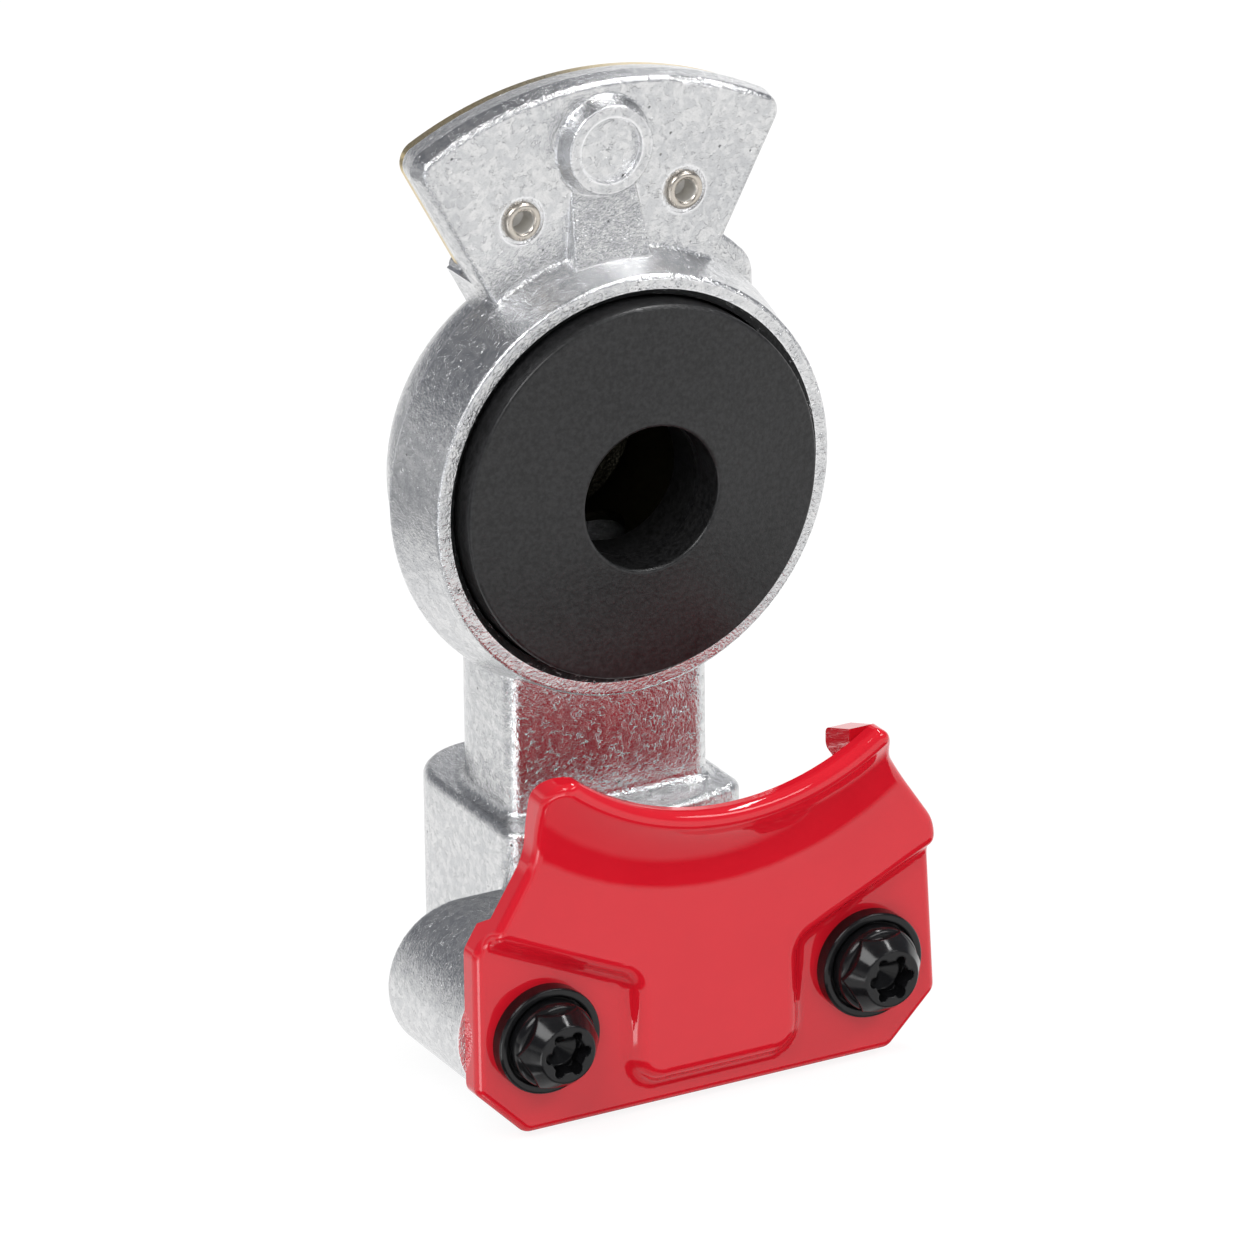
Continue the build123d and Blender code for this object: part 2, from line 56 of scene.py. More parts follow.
# Camera: a long lens, a little to the left of the sealing face and above it, as the photograph
# was taken. The seal's centre lies right of and above the middle of the picture.
turn, climb, roll = radians(-28.15), radians(22.32), radians(-0.74)
stand_off = 1.3753
pixels_per_metre = 7902.1
picture = 1254
seal_pixel = (644.51, 493.35)
toward = Vector((sin(turn) * cos(climb), -cos(turn) * cos(climb), sin(climb)))
level = Vector((cos(turn), sin(turn), 0))
upright = toward.cross(level)
across = cos(roll) * level + sin(roll) * upright
upward = cos(roll) * upright - sin(roll) * level
lens = bpy.data.cameras.new("studio_camera")
lens.sensor_fit = "HORIZONTAL"
lens.sensor_width = 36.0
lens.lens = pixels_per_metre * stand_off / picture * lens.sensor_width
lens.clip_start = 0.05
lens.clip_end = 20.0
camera = bpy.data.objects.new("studio_camera", lens)
bpy.context.scene.collection.objects.link(camera)
camera.matrix_world = Matrix.Translation(
    stand_off * toward
    - (seal_pixel[0] - picture / 2) / pixels_per_metre * across
    - (picture / 2 - seal_pixel[1]) / pixels_per_metre * upward
) @ Matrix((across, upward, toward)).transposed().to_4x4()
bpy.context.scene.camera = camera
bpy.context.scene.view_settings.view_transform = "Standard"


# Studio floor: a white painted table that the coupler stands on, on the foot of its port block.
# It is white to the lens and in the metal, keeps a faint shadow, and is darker in the enamel
# where a real table lies in the guide plate's shade.
def linear(colour):
    """An sRGB hex colour as linear red, green, blue and alpha."""
    parts = [int(colour[i:i + 2], 16) / 255 for i in (1, 3, 5)]
    return [c / 12.92 if c <= 0.04045 else ((c + 0.055) / 1.055) ** 2.4 for c in parts] + [1.0]


def add(tree, kind, sockets=None, **settings):
    """Adds a node, sets its options, and sets or links its input sockets."""
    node = tree.nodes.new(kind)
    for name, value in settings.items():
        setattr(node, name, value)
    for name, value in (sockets or {}).items():
        if isinstance(value, bpy.types.NodeSocket):
            tree.links.new(value, node.inputs[name])
        else:
            node.inputs[name].default_value = value
    return node


def start_material(name):
    """An empty node material, with the object's own coordinates in millimetres."""
    material = bpy.data.materials.new(name)
    material.use_nodes = True
    tree = material.node_tree
    tree.nodes.clear()
    place = add(tree, "ShaderNodeTexCoord")
    scaled = add(
        tree,
        "ShaderNodeMapping",
        {"Vector": place.outputs["Object"], "Scale": (1000.0, 1000.0, 1000.0)},
    )
    return material, tree, scaled.outputs["Vector"]


floor_z = cad_box[0][2]
floor_half = 4.0
table_white = linear("#F2F2F2")
table_glow = 1.08
lens_share = 0.82
full_light = (1.0, 1.0, 1.0, 1.0)
half_light = (0.5, 0.5, 0.5, 1.0)
deep_shade = (0.03, 0.03, 0.03, 1.0)
shade_y, shade_half, shade_soft = -52.0, 35.0, 50.0
reflection_dark_start_x, reflection_dark_full_x = -80.0, -170.0
reflection_dark_share = 0.75
painted_reflection_dark_tone = (0.1, 0.11, 0.13, 1.0)
gleam_way, gleam_side = (-0.78, -0.63, 0.0), (0.63, -0.78, 0.0)
gleam_start, gleam_shift = 34.0, 7.5
gleam_inner, gleam_outer = 0.16, 0.34
gleam_strength = 4.0
floor_mesh = bpy.data.meshes.new("studio_floor")
floor_mesh.from_pydata(
    [
        (-floor_half, -floor_half, floor_z),
        (floor_half, -floor_half, floor_z),
        (floor_half, floor_half, floor_z),
        (-floor_half, floor_half, floor_z),
    ],
    [],
    [(0, 1, 2, 3)],
)
studio_floor = bpy.data.objects.new("studio_floor", floor_mesh)
bpy.context.scene.collection.objects.link(studio_floor)
white_table_paint, tree, place = start_material("white_table_paint")
rays = add(tree, "ShaderNodeLightPath")
# The table glows to the lens in part, which leaves the shadow, and in full in metal and gloss
to_lens = add(
    tree,
    "ShaderNodeMath",
    {0: rays.outputs["Is Camera Ray"], 1: lens_share},
    operation="MULTIPLY",
)
in_gloss = add(
    tree,
    "ShaderNodeMath",
    {0: to_lens.outputs[0], 1: rays.outputs["Is Glossy Ray"]},
    operation="MAXIMUM",
)
glow_share = add(
    tree,
    "ShaderNodeMath",
    {0: in_gloss.outputs[0], 1: rays.outputs["Is Transmission Ray"]},
    operation="MAXIMUM",
)
paint = add(tree, "ShaderNodeBsdfDiffuse", {"Color": table_white})
# In front of the plate the table is darker where its reflection is steep, in the plate's shade
facing = add(tree, "ShaderNodeLayerWeight", {"Blend": 0.5})
steep = add(tree, "ShaderNodeValToRGB", {0: facing.outputs["Facing"]})
stops = steep.color_ramp.elements
stops[0].position, stops[0].color = 0.13, half_light
stops[1].position, stops[1].color = 0.46, full_light
for steepness in (0.18, 0.40):
    stops.new(steepness).color = deep_shade
on_table = add(tree, "ShaderNodeSeparateXYZ", {0: place})
from_shade = add(
    tree, "ShaderNodeMath", {0: on_table.outputs["Y"], 1: -shade_y}, operation="ADD"
)
from_shade = add(tree, "ShaderNodeMath", {0: from_shade.outputs[0]}, operation="ABSOLUTE")
in_front = add(
    tree,
    "ShaderNodeMapRange",
    {"Value": from_shade.outputs[0], "From Min": shade_soft, "From Max": shade_half},
)
in_mirror = add(
    tree,
    "ShaderNodeMath",
    {0: in_front.outputs[0], 1: rays.outputs["Is Glossy Ray"]},
    operation="MULTIPLY",
)
shaded = add(
    tree,
    "ShaderNodeMix",
    {0: in_mirror.outputs[0], 6: full_light, 7: steep.outputs[0]},
    data_type="RGBA",
)
# Painted dark reflection: on the left the table is painted darker for reflections only, as if it
# ended there, which the metal shows as a darker patch
reflection_dark_ramp = add(
    tree,
    "ShaderNodeMapRange",
    {
        "Value": on_table.outputs["X"],
        "From Min": reflection_dark_start_x,
        "From Max": reflection_dark_full_x,
        "To Max": reflection_dark_share,
    },
)
reflection_dark_in_gloss = add(
    tree,
    "ShaderNodeMath",
    {0: reflection_dark_ramp.outputs[0], 1: rays.outputs["Is Glossy Ray"]},
    operation="MULTIPLY",
)
darkened_on_left = add(
    tree,
    "ShaderNodeMix",
    {0: reflection_dark_in_gloss.outputs[0], 6: shaded.outputs[2], 7: painted_reflection_dark_tone},
    data_type="RGBA",
)
# Painted light: in reflections the table glows brighter on the left, in a wedge that opens
# outward from the plate's lower left corner, a painted gleam where no lamp stands
along = add(tree, "ShaderNodeVectorMath", {0: place, 1: gleam_way}, operation="DOT_PRODUCT")
aside = add(tree, "ShaderNodeVectorMath", {0: place, 1: gleam_side}, operation="DOT_PRODUCT")
aside = add(
    tree, "ShaderNodeMath", {0: aside.outputs["Value"], 1: gleam_shift}, operation="ADD"
)
aside = add(tree, "ShaderNodeMath", {0: aside.outputs[0]}, operation="ABSOLUTE")
past_corner = add(
    tree, "ShaderNodeMath", {0: along.outputs["Value"], 1: gleam_start}, operation="SUBTRACT"
)
slant = add(
    tree, "ShaderNodeMath", {0: aside.outputs[0], 1: past_corner.outputs[0]}, operation="DIVIDE"
)
wedge = add(
    tree,
    "ShaderNodeMapRange",
    {"Value": slant.outputs[0], "From Min": gleam_outer, "From Max": gleam_inner},
)
ahead = add(
    tree, "ShaderNodeMath", {0: past_corner.outputs[0], 1: 0.0}, operation="GREATER_THAN"
)
wedge = add(
    tree, "ShaderNodeMath", {0: wedge.outputs[0], 1: ahead.outputs[0]}, operation="MULTIPLY"
)
gleam = add(
    tree,
    "ShaderNodeMath",
    {0: wedge.outputs[0], 1: rays.outputs["Is Glossy Ray"]},
    operation="MULTIPLY",
)
strength = add(
    tree,
    "ShaderNodeMath",
    {0: gleam.outputs[0], 1: gleam_strength, 2: table_glow},
    operation="MULTIPLY_ADD",
)
glow = add(
    tree, "ShaderNodeEmission", {"Color": darkened_on_left.outputs[2], "Strength": strength.outputs[0]}
)
table = add(
    tree,
    "ShaderNodeMixShader",
    {0: glow_share.outputs[0], 1: paint.outputs[0], 2: glow.outputs[0]},
)
add(tree, "ShaderNodeOutputMaterial", {"Surface": table.outputs[0]})
floor_mesh.materials.append(white_table_paint)

# Studio room: a pale room round the table. It is white to the lens, and dimmer in the metal above
# the table's horizon, because only the table and the soft boxes are bright.
wall_tone = (0.19, 0.20, 0.225, 1.0)
ceiling_tone = (0.26, 0.26, 0.27, 1.0)
room_light = 0.42
room = bpy.data.worlds.new("studio_room")
room.use_nodes = True
tree = room.node_tree
tree.nodes.clear()
rays = add(tree, "ShaderNodeLightPath")
direction = add(tree, "ShaderNodeTexCoord")
height = add(tree, "ShaderNodeSeparateXYZ", {0: direction.outputs["Generated"]})
wall = add(tree, "ShaderNodeValToRGB", {0: height.outputs["Z"]})
stops = wall.color_ramp.elements
stops[0].position, stops[0].color = 0.07, full_light
stops[1].position, stops[1].color = 0.24, wall_tone
stops.new(0.9).color = ceiling_tone
lens_white = add(
    tree,
    "ShaderNodeMix",
    {0: rays.outputs["Is Camera Ray"], 6: wall.outputs[0], 7: full_light},
    data_type="RGBA",
)
seen = add(
    tree,
    "ShaderNodeMath",
    {0: rays.outputs["Is Camera Ray"], 1: rays.outputs["Is Glossy Ray"]},
    operation="MAXIMUM",
)
seen = add(
    tree,
    "ShaderNodeMath",
    {0: seen.outputs[0], 1: rays.outputs["Is Transmission Ray"]},
    operation="MAXIMUM",
)
soft = add(tree, "ShaderNodeBackground", {"Color": full_light, "Strength": room_light})
walls = add(tree, "ShaderNodeBackground", {"Color": lens_white.outputs[2], "Strength": 1.0})
both = add(
    tree,
    "ShaderNodeMixShader",
    {0: seen.outputs[0], 1: soft.outputs[0], 2: walls.outputs[0]},
)
add(tree, "ShaderNodeOutputWorld", {"Surface": both.outputs[0]})
bpy.context.scene.world = room

# Soft boxes: a main one above on the left, a long one on the right, a weak one right behind, and
# a narrow one overhead that draws the line of light on the crest of the guide plate's flare.
# Each has its place, width and depth in metres and its power in watts.
coupler_middle = Vector((0, 0, -0.02))
for name, box_place, width, depth, power in (
    ("main_box", (-0.75, -0.55, 0.95), 0.75, 0.60, 9.4),
    ("side_box", (0.62, -0.84, 0.95), 0.95, 0.30, 5.0),
    ("rear_box", (0.95, 0.90, 0.40), 0.90, 0.50, 1.3),
    ("top_box", (0.40, 0.08, 0.85), 0.50, 0.10, 3.4),
):
    lamp = bpy.data.lights.new(name, "AREA")
    lamp.shape = "RECTANGLE"
    lamp.size = width
    lamp.size_y = depth
    lamp.energy = power
    box = bpy.data.objects.new(name, lamp)
    bpy.context.scene.collection.objects.link(box)
    aim = coupler_middle - Vector(box_place)
    box.matrix_world = (
        Matrix.Translation(box_place) @ aim.to_track_quat("-Z", "Y").to_matrix().to_4x4()
    )


# Coupling body: one aluminium die casting, tumbled in stones after casting, so the flats keep a
# fine pebbled skin with short bright curls and a few pin holes, and the edges are rubbed bright.
# The port is bored and threaded afterwards.
def dress(material, tree, surface, *nodes):
    """Ends a material with its surface and gives it to the named CAD nodes."""
    add(tree, "ShaderNodeOutputMaterial", {"Surface": surface})
    for name in nodes:
        for slot in frame["nodes"][name].material_slots:
            slot.material = material


skin_dull = linear("#C6C7C9")
skin_pale = linear("#E1E1E1")
skin_rubbed = linear("#F4F4F5")
chamber_painted_shade = linear("#5E5B4E")
pit_grey = linear("#8A8A8C")
rub_radius = 0.0007
rubbed_roughness = 0.12
chamber_reach, chamber_middle_y, chamber_half = 13.6, 20.2, 10.8
relief_depth = 0.00011
curl_rise, pit_depth, wave_rise = 0.38, 1.2, 2.0
tumbled_cast_aluminium, tree, place = start_material("tumbled_cast_aluminium")
# Curls that the stones leave, 0.2 to 0.3 mm wide and a millimetre or so long
curls_per_mm, breaks_per_mm = 0.95, 0.8
tracks = add(
    tree,
    "ShaderNodeTexNoise",
    {
        "Vector": place,
        "Scale": curls_per_mm,
        "Detail": 2.0,
        "Roughness": 0.5,
        "Distortion": 0.6,
    },
)
offset = add(tree, "ShaderNodeMath", {0: tracks.outputs["Fac"], 1: 0.5}, operation="SUBTRACT")
offset = add(tree, "ShaderNodeMath", {0: offset.outputs[0]}, operation="ABSOLUTE")
curl_line = add(
    tree,
    "ShaderNodeMapRange",
    {"Value": offset.outputs[0], "From Min": 0.045, "From Max": 0.0},
    interpolation_type="SMOOTHSTEP",
)
breaks = add(
    tree, "ShaderNodeTexNoise", {"Vector": place, "Scale": breaks_per_mm, "Detail": 1.0}
)
kept = add(
    tree,
    "ShaderNodeMapRange",
    {"Value": breaks.outputs["Fac"], "From Min": 0.50, "From Max": 0.60},
)
curls = add(
    tree, "ShaderNodeMath", {0: curl_line.outputs[0], 1: kept.outputs[0]}, operation="MULTIPLY"
)
# Pebbles of the tumbled skin, about 0.4 mm and finer
pebbles_per_mm = 2.6
grain = add(
    tree,
    "ShaderNodeTexNoise",
    {"Vector": place, "Scale": pebbles_per_mm, "Detail": 3.0, "Roughness": 0.6},
)
# Pin holes, 0.2 to 0.4 mm across, in cells of 3 mm
pits_per_mm = 0.34
pits = add(
    tree, "ShaderNodeTexVoronoi", {"Vector": place, "Scale": pits_per_mm, "Randomness": 1.0}
)
past_pit = add(
    tree,
    "ShaderNodeMapRange",
    {"Value": pits.outputs["Distance"], "From Min": 0.03, "From Max": 0.07},
)
# Slow changes of tone and form where the metal cooled unevenly, about 8 mm across
clouds_per_mm = 0.13
clouds = add(
    tree,
    "ShaderNodeTexNoise",
    {"Vector": place, "Scale": clouds_per_mm, "Detail": 3.0, "Distortion": 0.4},
)
# Rubbed edges, found where a rounding of 0.7 mm would turn the surface
rounded = add(tree, "ShaderNodeBevel", {"Radius": rub_radius}, samples=6)
true_form = add(tree, "ShaderNodeNewGeometry")
agree = add(
    tree,
    "ShaderNodeVectorMath",
    {0: rounded.outputs[0], 1: true_form.outputs["Normal"]},
    operation="DOT_PRODUCT",
)
edge = add(
    tree,
    "ShaderNodeMapRange",
    {"Value": agree.outputs["Value"], "From Min": 0.995, "From Max": 0.93},
)
track_tone = add(
    tree,
    "ShaderNodeMapRange",
    {"Value": tracks.outputs["Fac"], "From Min": 0.36, "From Max": 0.64},
)
cloud_tone = add(
    tree,
    "ShaderNodeMapRange",
    {"Value": clouds.outputs["Fac"], "From Min": 0.3, "From Max": 0.7},
)
skin_tone = add(
    tree,
    "ShaderNodeMix",
    {0: 0.4, 2: track_tone.outputs[0], 3: cloud_tone.outputs[0]},
    data_type="FLOAT",
)
skin = add(
    tree,
    "ShaderNodeMix",
    {0: skin_tone.outputs[0], 6: skin_dull, 7: skin_pale},
    data_type="RGBA",
)
bright = add(
    tree,
    "ShaderNodeMix",
    {0: edge.outputs[0], 6: skin.outputs[2], 7: skin_rubbed},
    data_type="RGBA",
)
pitted = add(
    tree,
    "ShaderNodeMix",
    {0: past_pit.outputs[0], 6: pit_grey, 7: bright.outputs[2]},
    data_type="RGBA",
)
# Painted shade: the air chamber behind the ring is painted dark, where shade falls inside it
in_casting = add(tree, "ShaderNodeSeparateXYZ", {0: place})
off_axis = add(
    tree,
    "ShaderNodeCombineXYZ",
    {"X": in_casting.outputs["X"], "Z": in_casting.outputs["Z"]},
)
from_axis = add(tree, "ShaderNodeVectorMath", {0: off_axis.outputs[0]}, operation="LENGTH")
within = add(
    tree,
    "ShaderNodeMath",
    {0: from_axis.outputs["Value"], 1: chamber_reach},
    operation="LESS_THAN",
)
behind = add(
    tree,
    "ShaderNodeMath",
    {0: in_casting.outputs["Y"], 1: chamber_middle_y, 2: chamber_half},
    operation="COMPARE",
)
in_chamber = add(
    tree, "ShaderNodeMath", {0: within.outputs[0], 1: behind.outputs[0]}, operation="MULTIPLY"
)
cast_colour = add(
    tree,
    "ShaderNodeMix",
    {0: in_chamber.outputs[0], 6: pitted.outputs[2], 7: chamber_painted_shade},
    data_type="RGBA",
)
skin_roughness = add(
    tree,
    "ShaderNodeMapRange",
    {
        "Value": grain.outputs["Fac"],
        "From Min": 0.3,
        "From Max": 0.7,
        "To Min": 0.15,
        "To Max": 0.27,
    },
)
cast_roughness = add(
    tree,
    "ShaderNodeMix",
    {0: edge.outputs[0], 2: skin_roughness.outputs[0], 3: rubbed_roughness},
    data_type="FLOAT",
)
curled = add(
    tree,
    "ShaderNodeMath",
    {0: curls.outputs[0], 1: curl_rise, 2: grain.outputs["Fac"]},
    operation="MULTIPLY_ADD",
)
drilled = add(
    tree,
    "ShaderNodeMath",
    {0: past_pit.outputs[0], 1: pit_depth, 2: curled.outputs[0]},
    operation="MULTIPLY_ADD",
)
# The tumbling also leaves the faces a little wavy
wavy = add(
    tree,
    "ShaderNodeMath",
    {0: clouds.outputs["Fac"], 1: wave_rise, 2: drilled.outputs[0]},
    operation="MULTIPLY_ADD",
)
cast_bump = add(
    tree,
    "ShaderNodeBump",
    {"Height": wavy.outputs[0], "Strength": 1.0, "Distance": relief_depth},
)
cast_metal = add(
    tree,
    "ShaderNodeBsdfPrincipled",
    {
        "Base Color": cast_colour.outputs[2],
        "Metallic": 1.0,
        "Roughness": cast_roughness.outputs[0],
        "Normal": cast_bump.outputs[0],
    },
)
dress(tumbled_cast_aluminium, tree, cast_metal.outputs[0], "coupling_body")

# Port thread: the female thread cut in the casting's port, which the CAD leaves as a plain bore
# at the thread's crest. It runs the length of the mount, as a ridge along a spiral.
thread_pitch = 0.0015
ridge_radius = 0.00042
ridge_sink = 0.0001
port = next(m for m in frame["record"]["mounts"] if m["name"] == "hose_port")
port_radius = port["dims"]["r_mm"] / 1000
port_length = port["dims"]["length_mm"] / 1000
thread_rise = port_length - thread_pitch
thread_tree = bpy.data.node_groups.new("port_thread", "GeometryNodeTree")
thread_tree.interface.new_socket("Geometry", in_out="OUTPUT", socket_type="NodeSocketGeometry")
thread_inputs = {
    "Turns": (port_length / thread_pitch - 1, "NodeSocketFloat"),
    "Spiral Radius": (port_radius + ridge_sink, "NodeSocketFloat"),
    "Rise": (thread_rise, "NodeSocketFloat"),
    "Ridge Radius": (ridge_radius, "NodeSocketFloat"),
    "Material": (tumbled_cast_aluminium, "NodeSocketMaterial"),
}
thread_keys = {
    name: thread_tree.interface.new_socket(name, in_out="INPUT", socket_type=kind).identifier
    for name, (value, kind) in thread_inputs.items()
}
given = add(thread_tree, "NodeGroupInput")
spiral = add(
    thread_tree,
    "GeometryNodeCurveSpiral",
    {
        "Resolution": 72,
        "Rotations": given.outputs["Turns"],
        "Start Radius": given.outputs["Spiral Radius"],
        "End Radius": given.outputs["Spiral Radius"],
        "Height": given.outputs["Rise"],
    },
)
section = add(
    thread_tree,
    "GeometryNodeCurvePrimitiveCircle",
    {"Resolution": 8, "Radius": given.outputs["Ridge Radius"]},
)
ridge = add(
    thread_tree,
    "GeometryNodeCurveToMesh",
    {"Curve": spiral.outputs[0], "Profile Curve": section.outputs[0], "Fill Caps": True},
)
real = add(thread_tree, "GeometryNodeRealizeInstances", {"Geometry": ridge.outputs[0]})
clad = add(
    thread_tree,
    "GeometryNodeSetMaterial",
    {"Geometry": real.outputs[0], "Material": given.outputs["Material"]},
)
add(thread_tree, "NodeGroupOutput", {"Geometry": clad.outputs[0]})
maker = bpy.data.objects.new("thread_maker", bpy.data.meshes.new("thread_maker"))
bpy.context.scene.collection.objects.link(maker)
cutter = maker.modifiers.new("port_thread", "NODES")
cutter.node_group = thread_tree
for name, (value, kind) in thread_inputs.items():
    cutter[thread_keys[name]] = value
graph = bpy.context.evaluated_depsgraph_get()
thread_mesh = bpy.data.meshes.new_from_object(maker.evaluated_get(graph), depsgraph=graph)
bpy.data.objects.remove(maker)
port_x, port_y, port_z = port["pos_m"]
thread_mesh.transform(Matrix.Translation((port_x, port_y, port_z - thread_rise / 2)))
port_thread = bpy.data.objects.new("port_thread", thread_mesh)
bpy.context.scene.collection.objects.link(port_thread)
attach(port_thread, "root")

# Sealing ring: moulded black rubber, pressed into the cup by its rear bead. Its face keeps the
# mould's fine matte grain and a faint swirl of bloom.
rubber_dark = linear("#070708")
rubber_bloom = linear("#29292A")
rubber_ior = 1.46
moulded_rubber, tree, place = start_material("moulded_rubber")
# Bloom in swirls of about 4.5 mm, and the mould's grain of 0.6 mm
swirls_per_mm, stipples_per_mm = 0.22, 1.6
swirl = add(
    tree,
    "ShaderNodeTexNoise",
    {
        "Vector": place,
        "Scale": swirls_per_mm,
        "Detail": 5.0,
        "Roughness": 0.6,
        "Distortion": 1.5,
    },
)
stipple = add(
    tree,
    "ShaderNodeTexNoise",
    {"Vector": place, "Scale": stipples_per_mm, "Detail": 3.0, "Roughness": 0.6},
)
stipple_tone = add(
    tree,
    "ShaderNodeMapRange",
    {"Value": stipple.outputs["Fac"], "From Min": 0.35, "From Max": 0.65},
)
bloom_share = add(
    tree,
    "ShaderNodeMix",
    {0: 0.35, 2: stipple_tone.outputs[0], 3: swirl.outputs["Fac"]},
    data_type="FLOAT",
)
rubber_colour = add(
    tree,
    "ShaderNodeMix",
    {0: bloom_share.outputs[0], 6: rubber_dark, 7: rubber_bloom},
    data_type="RGBA",
)
rubber_roughness = add(
    tree,
    "ShaderNodeMapRange",
    {
        "Value": swirl.outputs["Fac"],
        "From Min": 0.3,
        "From Max": 0.7,
        "To Min": 0.30,
        "To Max": 0.40,
    },
)
rubber_bump = add(
    tree,
    "ShaderNodeBump",
    {"Height": stipple.outputs["Fac"], "Strength": 0.6, "Distance": 0.00008},
)
rubber = add(
    tree,
    "ShaderNodeBsdfPrincipled",
    {
        "Base Color": rubber_colour.outputs[2],
        "Roughness": rubber_roughness.outputs[0],
        "IOR": rubber_ior,
        "Normal": rubber_bump.outputs[0],
    },
)
dress(moulded_rubber, tree, rubber.outputs[0], "seal_ring")

# Guide plate: one pressed steel sheet, baked with thick gloss enamel. The enamel gives a deep
# even red and a sharp mirror, with the slight waves of its flow.
enamel_full = linear("#CD1425")
enamel_thin = linear("#D61C2B")
enamel_ior = 1.52
red_baked_enamel, tree, place = start_material("red_baked_enamel")
# Orange peel of the flowed enamel, about 2.5 mm, and thinner patches of about 11 mm
peels_per_mm, patches_per_mm = 0.4, 0.09
peel = add(
    tree,
    "ShaderNodeTexNoise",
    {"Vector": place, "Scale": peels_per_mm, "Detail": 1.0, "Roughness": 0.4},
)
flow = add(
    tree,
    "ShaderNodeTexNoise",
    {"Vector": place, "Scale": patches_per_mm, "Detail": 2.0, "Roughness": 0.5},
)
enamel_colour = add(
    tree,
    "ShaderNodeMix",
    {0: flow.outputs["Fac"], 6: enamel_full, 7: enamel_thin},
    data_type="RGBA",
)
enamel_roughness = add(
    tree,
    "ShaderNodeMapRange",
    {
        "Value": flow.outputs["Fac"],
        "From Min": 0.3,
        "From Max": 0.7,
        "To Min": 0.03,
        "To Max": 0.05,
    },
)
enamel_bump = add(
    tree,
    "ShaderNodeBump",
    {"Height": peel.outputs["Fac"], "Strength": 0.12, "Distance": 0.0001},
)
enamel = add(
    tree,
    "ShaderNodeBsdfPrincipled",
    {
        "Base Color": enamel_colour.outputs[2],
        "Roughness": enamel_roughness.outputs[0],
        "IOR": enamel_ior,
        "Normal": enamel_bump.outputs[0],
    },
)
dress(red_baked_enamel, tree, enamel.outputs[0], "guide_plate")

# Detent plate: flat steel sheet, zinc plated and yellow passivated, riveted behind the flange.
# The passivation is straw coloured, and paler in drifting stains.
straw = linear("#D8BC7A")
pale_straw = linear("#DDD6C4")
yellow_zinc_plate, tree, place = start_material("yellow_zinc_plate")
# Stains of about 6 mm, and the plating's grain of 0.3 mm
stains_per_mm, crystals_per_mm = 0.16, 3.0
stain = add(
    tree,
    "ShaderNodeTexNoise",
    {"Vector": place, "Scale": stains_per_mm, "Detail": 4.0, "Distortion": 1.0},
)
crystal = add(
    tree, "ShaderNodeTexNoise", {"Vector": place, "Scale": crystals_per_mm, "Detail": 2.0}
)
zinc_colour = add(
    tree,
    "ShaderNodeMix",
    {0: stain.outputs["Fac"], 6: straw, 7: pale_straw},
    data_type="RGBA",
)
zinc_roughness = add(
    tree,
    "ShaderNodeMapRange",
    {
        "Value": crystal.outputs["Fac"],
        "From Min": 0.3,
        "From Max": 0.7,
        "To Min": 0.24,
        "To Max": 0.36,
    },
)
zinc_bump = add(
    tree,
    "ShaderNodeBump",
    {"Height": crystal.outputs["Fac"], "Strength": 0.2, "Distance": 0.00003},
)
zinc = add(
    tree,
    "ShaderNodeBsdfPrincipled",
    {
        "Base Color": zinc_colour.outputs[2],
        "Metallic": 1.0,
        "Roughness": zinc_roughness.outputs[0],
        "Normal": zinc_bump.outputs[0],
    },
)
dress(yellow_zinc_plate, tree, zinc.outputs[0], "detent_plate")

# Rivets: semi-tubular steel rivets, nickel plated, their hollow ends rolled over in front. The
# plating is satin on the heads and dull in the hollow ends.
nickel_warm = linear("#BFB6AA")
nickel_pale = linear("#D5CFC6")
nickel_dull = linear("#E4E2DE")
hollow_reach = 1.5
hollow_roughness = 0.6
nickel_plated_steel, tree, place = start_material("nickel_plated_steel")
# The hollow end: within 1.5 mm of the rivet's axis, on its front half. Both rivets lie at the
# same distance from the middle.
rivet_low, rivet_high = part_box("rivet_right")
rivet_middle = [500 * (low + high) for low, high in zip(rivet_low, rivet_high)]
in_rivet = add(tree, "ShaderNodeSeparateXYZ", {0: place})
either_side = add(tree, "ShaderNodeMath", {0: in_rivet.outputs["X"]}, operation="ABSOLUTE")
beside = add(
    tree,
    "ShaderNodeMath",
    {0: either_side.outputs[0], 1: rivet_middle[0]},
    operation="SUBTRACT",
)
above = add(
    tree,
    "ShaderNodeMath",
    {0: in_rivet.outputs["Z"], 1: rivet_middle[2]},
    operation="SUBTRACT",
)
off_axis = add(tree, "ShaderNodeCombineXYZ", {"X": beside.outputs[0], "Z": above.outputs[0]})
from_axis = add(tree, "ShaderNodeVectorMath", {0: off_axis.outputs[0]}, operation="LENGTH")
near_axis = add(
    tree,
    "ShaderNodeMath",
    {0: from_axis.outputs["Value"], 1: hollow_reach},
    operation="LESS_THAN",
)
front_half = add(
    tree,
    "ShaderNodeMath",
    {0: in_rivet.outputs["Y"], 1: rivet_middle[1]},
    operation="LESS_THAN",
)
hollow = add(
    tree,
    "ShaderNodeMath",
    {0: near_axis.outputs[0], 1: front_half.outputs[0]},
    operation="MULTIPLY",
)
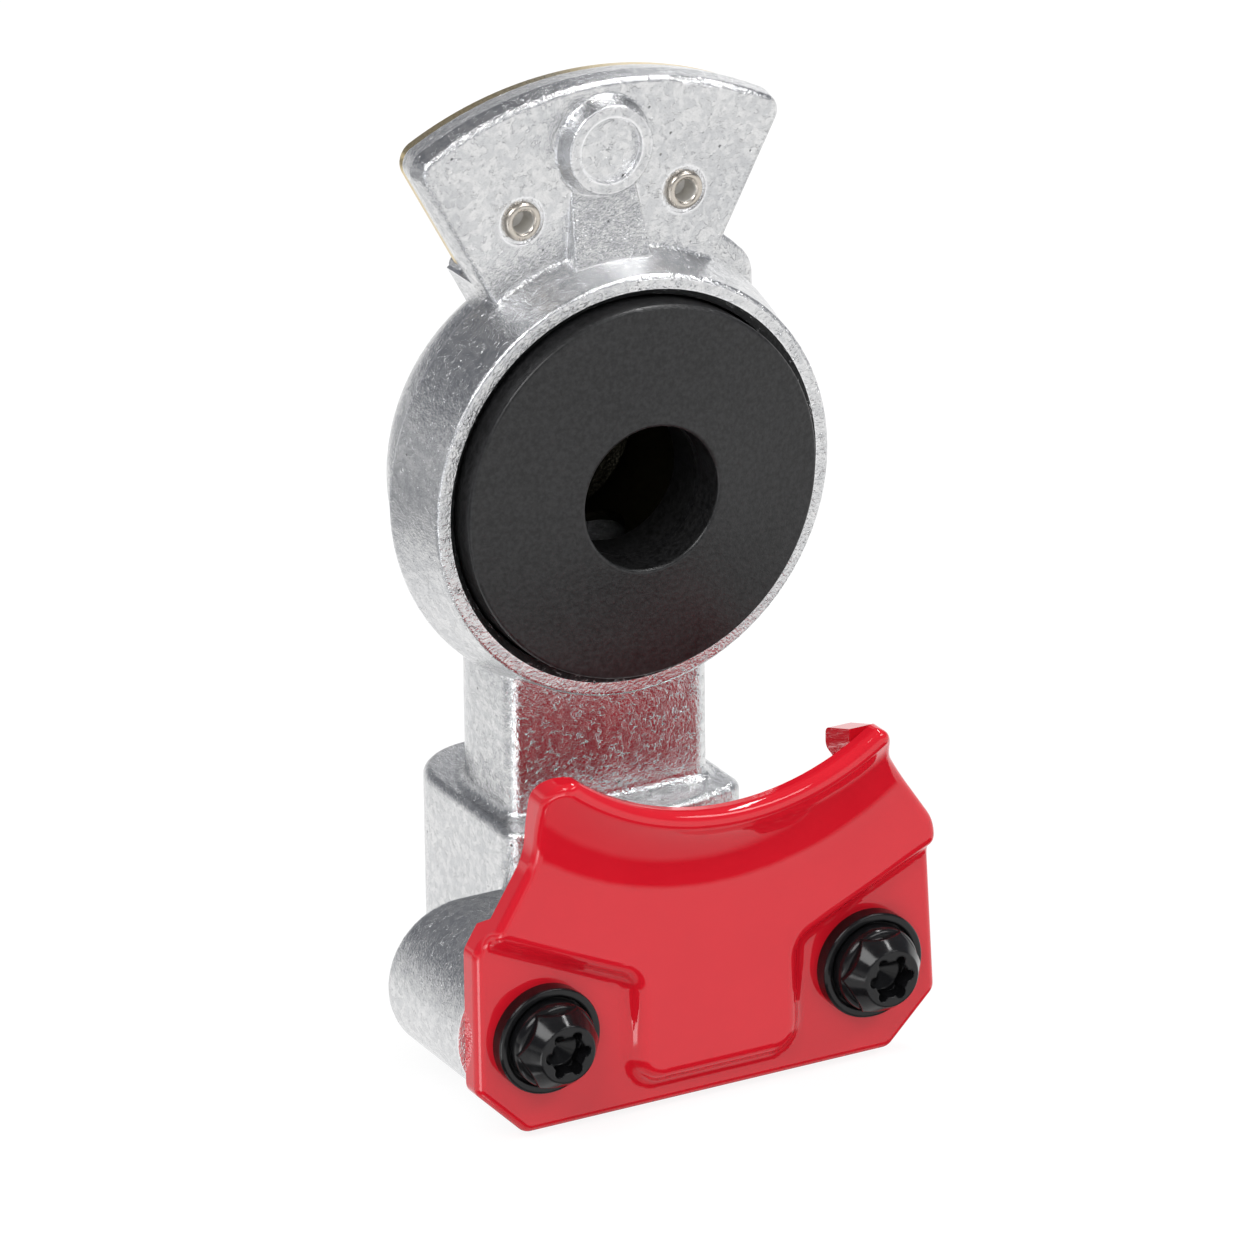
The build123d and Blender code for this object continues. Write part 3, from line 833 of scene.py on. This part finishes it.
# Wear of the plating, about 0.7 mm
wears_per_mm = 1.4
wear = add(tree, "ShaderNodeTexNoise", {"Vector": place, "Scale": wears_per_mm, "Detail": 4.0})
plated = add(
    tree,
    "ShaderNodeMix",
    {0: wear.outputs["Fac"], 6: nickel_warm, 7: nickel_pale},
    data_type="RGBA",
)
plated_roughness = add(
    tree,
    "ShaderNodeMapRange",
    {
        "Value": wear.outputs["Fac"],
        "From Min": 0.3,
        "From Max": 0.7,
        "To Min": 0.22,
        "To Max": 0.34,
    },
)
nickel_colour = add(
    tree,
    "ShaderNodeMix",
    {0: hollow.outputs[0], 6: plated.outputs[2], 7: nickel_dull},
    data_type="RGBA",
)
nickel_roughness = add(
    tree,
    "ShaderNodeMix",
    {0: hollow.outputs[0], 2: plated_roughness.outputs[0], 3: hollow_roughness},
    data_type="FLOAT",
)
nickel_bump = add(
    tree,
    "ShaderNodeBump",
    {"Height": wear.outputs["Fac"], "Strength": 0.15, "Distance": 0.00002},
)
nickel = add(
    tree,
    "ShaderNodeBsdfPrincipled",
    {
        "Base Color": nickel_colour.outputs[2],
        "Metallic": 1.0,
        "Roughness": nickel_roughness.outputs[0],
        "Normal": nickel_bump.outputs[0],
    },
)
dress(nickel_plated_steel, tree, nickel.outputs[0], "rivet_left", "rivet_right")

# Screws and dished washers: steel with an oiled black oxide, glossy on the flats and a little
# greyer where the tools have rubbed it. Forging leaves every edge slightly round.
oxide_black = linear("#0A0A0B")
oxide_rubbed = linear("#19191B")
oil_ior = 1.38
forged_edge = 0.0003
oiled_black_oxide, tree, place = start_material("oiled_black_oxide")
# Rubbed patches of about 1.1 mm
rubs_per_mm = 0.9
rub = add(tree, "ShaderNodeTexNoise", {"Vector": place, "Scale": rubs_per_mm, "Detail": 4.0})
oxide_colour = add(
    tree,
    "ShaderNodeMix",
    {0: rub.outputs["Fac"], 6: oxide_black, 7: oxide_rubbed},
    data_type="RGBA",
)
oxide_roughness = add(
    tree,
    "ShaderNodeMapRange",
    {
        "Value": rub.outputs["Fac"],
        "From Min": 0.3,
        "From Max": 0.7,
        "To Min": 0.10,
        "To Max": 0.2,
    },
)
rounded = add(tree, "ShaderNodeBevel", {"Radius": forged_edge}, samples=6)
oxide_bump = add(
    tree,
    "ShaderNodeBump",
    {
        "Height": rub.outputs["Fac"],
        "Strength": 0.12,
        "Distance": 0.00004,
        "Normal": rounded.outputs[0],
    },
)
oxide = add(
    tree,
    "ShaderNodeBsdfPrincipled",
    {
        "Base Color": oxide_colour.outputs[2],
        "Roughness": oxide_roughness.outputs[0],
        "IOR": oil_ior,
        "Normal": oxide_bump.outputs[0],
    },
)
dress(
    oiled_black_oxide,
    tree,
    oxide.outputs[0],
    "washer_left",
    "washer_right",
    "screw_left",
    "screw_right",
)

# Collars of the screws: the low round flange under each hexagon, forged with the screw. It sits
# in the washer's dish. The profile gives its radius and rise in millimetres.
collar_profile = (
    (4.4, 0.0),
    (5.6, 0.0),
    (5.78, 0.3),
    (5.78, 2.2),
    (5.65, 2.7),
    (5.35, 3.1),
    (4.4, 3.4),
)
collar_steps = 96
dish_floor = 0.0009
for side in ("left", "right"):
    washer_low, washer_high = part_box(f"washer_{side}")
    middle_x = (washer_low[0] + washer_high[0]) / 2
    middle_z = (washer_low[2] + washer_high[2]) / 2
    seat_y = washer_high[1] - dish_floor
    points = [
        (
            middle_x + radius / 1000 * cos(radians(360 * step / collar_steps)),
            seat_y - rise / 1000,
            middle_z + radius / 1000 * sin(radians(360 * step / collar_steps)),
        )
        for radius, rise in collar_profile
        for step in range(collar_steps)
    ]
    rings = len(collar_profile)
    faces = [
        (
            ring * collar_steps + step,
            ring * collar_steps + (step + 1) % collar_steps,
            (ring + 1) % rings * collar_steps + (step + 1) % collar_steps,
            (ring + 1) % rings * collar_steps + step,
        )
        for ring in range(rings)
        for step in range(collar_steps)
    ]
    collar_mesh = bpy.data.meshes.new(f"screw_collar_{side}")
    collar_mesh.from_pydata(points, [], faces)
    collar_mesh.update()
    collar_mesh.polygons.foreach_set("use_smooth", [True] * len(faces))
    collar_mesh.materials.append(oiled_black_oxide)
    collar = bpy.data.objects.new(f"screw_collar_{side}", collar_mesh)
    bpy.context.scene.collection.objects.link(collar)
    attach(collar, "root")
